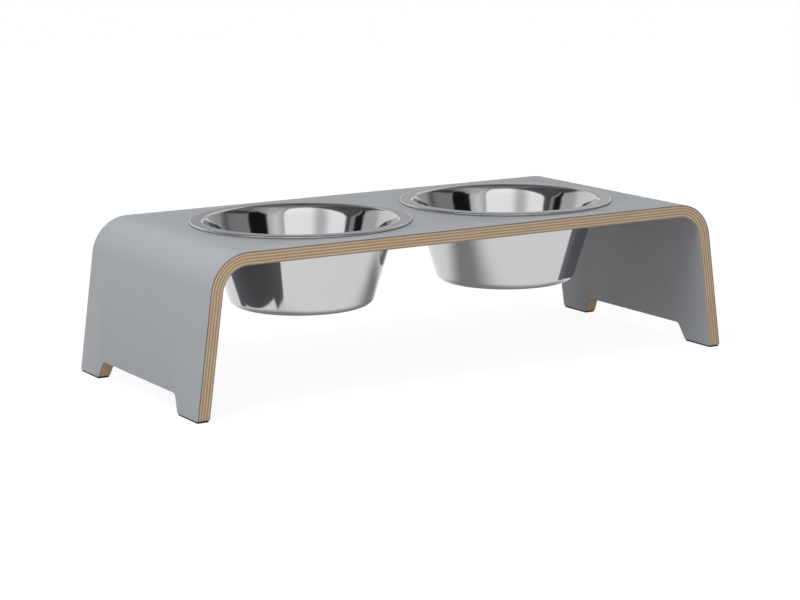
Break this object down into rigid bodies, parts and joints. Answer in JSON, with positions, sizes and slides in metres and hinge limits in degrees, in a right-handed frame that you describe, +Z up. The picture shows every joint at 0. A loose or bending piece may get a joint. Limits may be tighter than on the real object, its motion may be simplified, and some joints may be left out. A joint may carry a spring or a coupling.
{
  "type": "dog feeding station",
  "caption": "Low bench bent from one laminate-faced plywood board with splayed legs, holding flanged drop-in steel bowls for a dog's food and water.",
  "frame": {"origin": "on the floor, under the middle of the bench", "axes": "+X along the bench, +Y from its front edge to its back edge, +Z up"},
  "size_m": [0.56, 0.24, 0.1439],
  "materials": {
    "laminate": "matte grey laminate",
    "veneer_along": "sanded veneer, grain along the board",
    "veneer_across": "sanded veneer, grain across the board",
    "steel": "polished stainless steel",
    "rubber": "matte black"
  },
  "bodies": {
    "bench": {"outer_laminate": "laminate", "face_veneer": "veneer_along", "upper_crossband": "veneer_across", "upper_long_veneer": "veneer_along", "core_crossband": "veneer_across", "lower_long_veneer": "veneer_along", "lower_crossband": "veneer_across", "back_veneer": "veneer_along", "inner_laminate": "laminate", "pad_left_front": "rubber", "pad_left_rear": "rubber", "pad_right_front": "rubber", "pad_right_rear": "rubber"},
    "bowl_left": {"bowl_left": "steel"},
    "bowl_right": {"bowl_right": "steel"}
  },
  "joints": [
    {"name": "bowl_left_lift", "type": "slide", "parent": "bench", "child": "bowl_left", "axis": [0, 0, 1], "range_m": [0, 0.1]},
    {"name": "bowl_right_lift", "type": "slide", "parent": "bench", "child": "bowl_right", "axis": [0, 0, 1], "range_m": [0, 0.1]}
  ]
}
